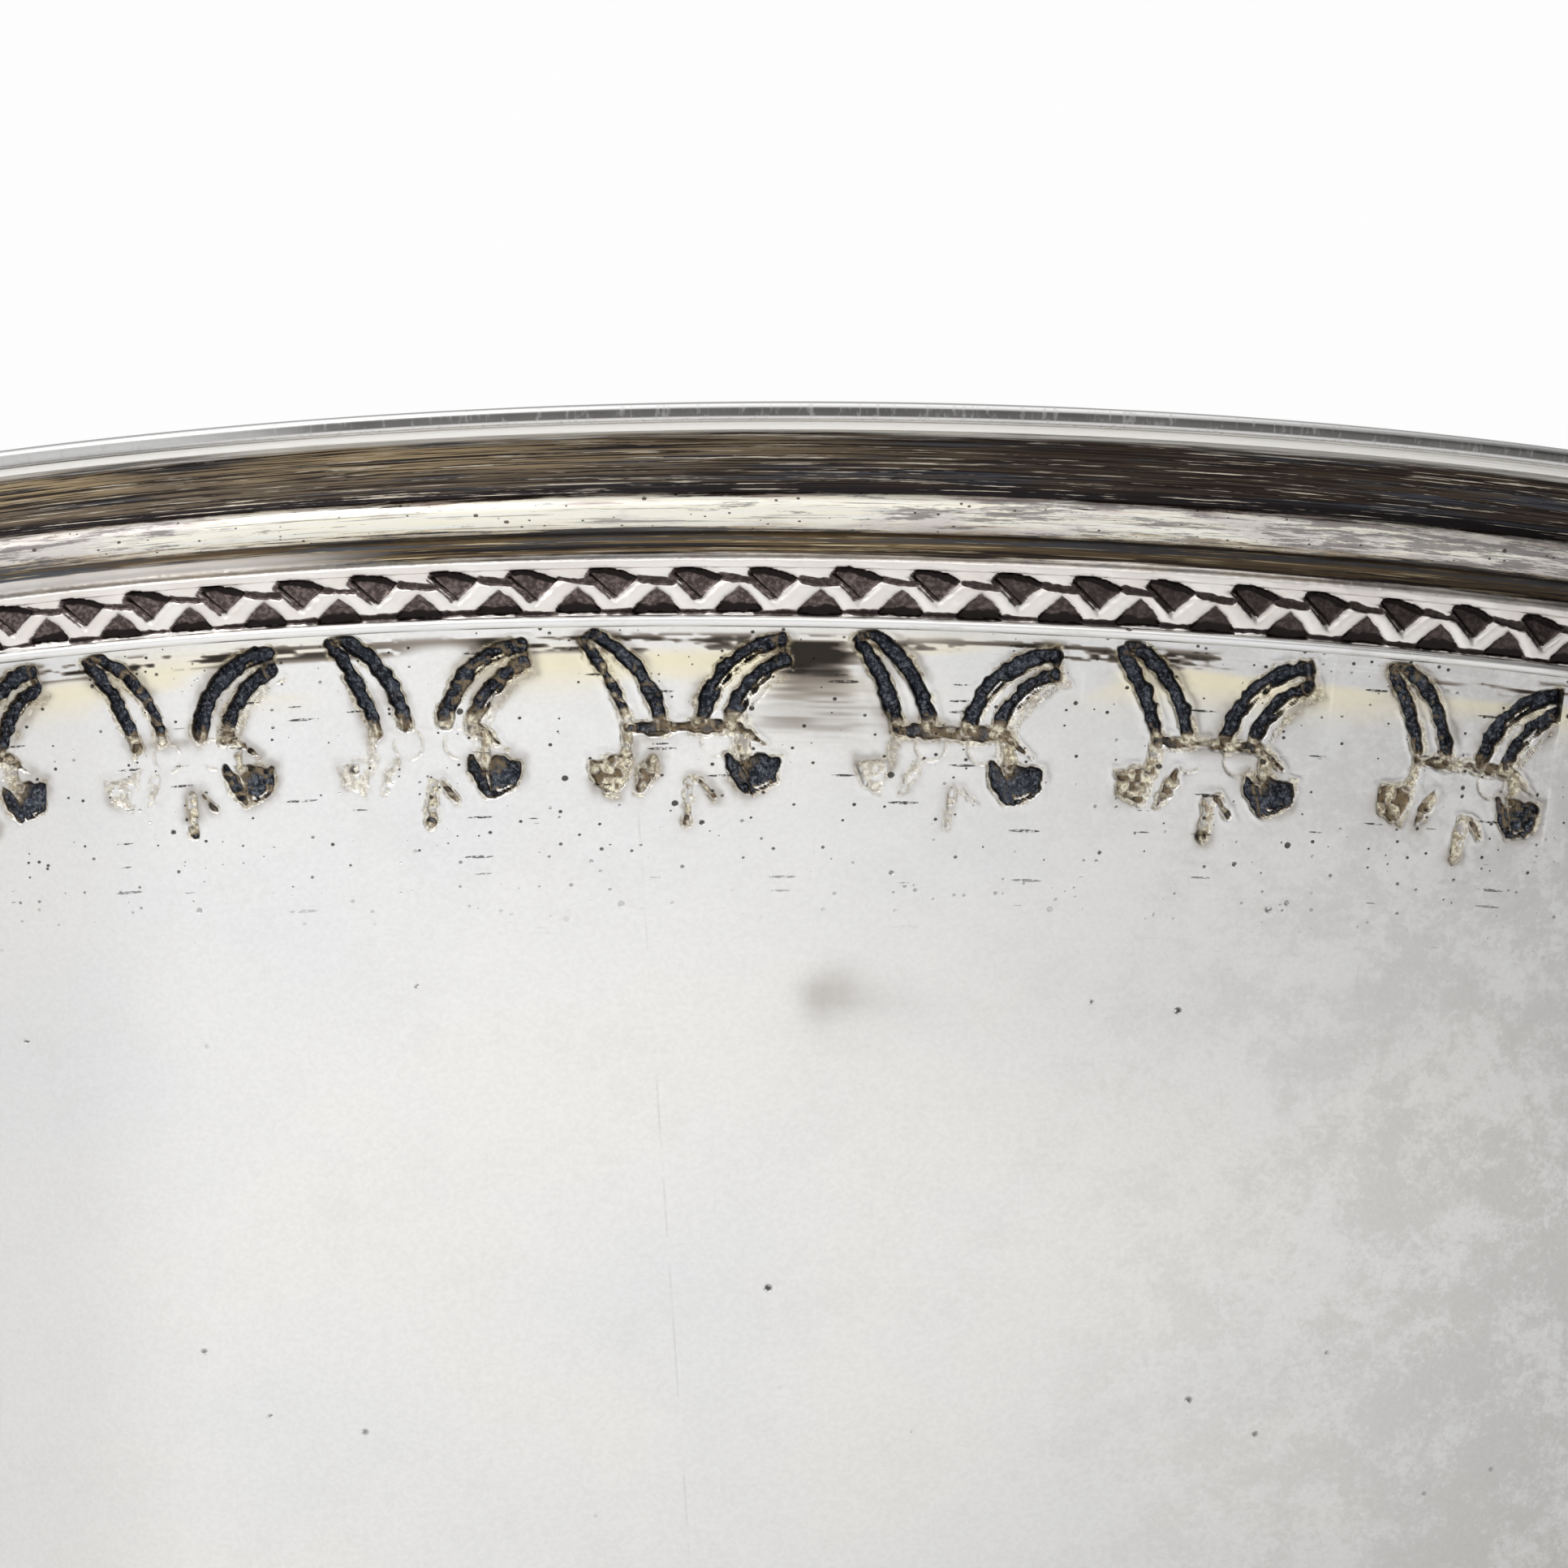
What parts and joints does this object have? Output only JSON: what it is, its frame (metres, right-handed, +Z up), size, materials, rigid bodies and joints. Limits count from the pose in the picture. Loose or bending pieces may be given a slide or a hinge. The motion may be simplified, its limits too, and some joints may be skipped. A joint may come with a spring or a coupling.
{
  "type": "offering plate",
  "caption": "Deep round offering plate with flared silver-plated wall, moulded rim over a punched zigzag and horned frieze, low foot and a lift-out felt pad.",
  "frame": {"origin": "centre of the foot's underside, on the surface the plate stands on", "axes": "+Z up along the plate's axis; +X and +Y lie in the plane of the foot"},
  "size_m": [0.254, 0.254, 0.0886],
  "materials": {
    "plated_wall": "worn silver plate, satin",
    "plated_lip": "worn silver plate, brushed across",
    "tarnished_cove": "brown tarnish, streaked",
    "plated_moulding": "worn silver plate, cream and slate tarnish",
    "plated_zigzag": "silver plate with dark punches",
    "plated_base": "worn silver plate, satin",
    "board": "pressed board",
    "pad_felt": "wool felt",
    "base_felt": "wool felt"
  },
  "bodies": {
    "plate": {"wall": "plated_wall", "lip_wire": "plated_lip", "cove_band": "tarnished_cove", "torus_band": "plated_moulding", "zigzag_band": "plated_zigzag", "fillet_wire": "plated_moulding", "base_pan": "plated_base", "seam_wire": "plated_moulding", "foot_band": "plated_base", "foot_wire": "plated_base", "base_felt": "base_felt"},
    "pad": {"pad_board": "board", "pad_felt": "pad_felt"}
  },
  "joints": [
    {"name": "pad_lift", "type": "slide", "parent": "plate", "child": "pad", "axis": [0, 0, 1], "range_m": [0, 0.085]}
  ]
}
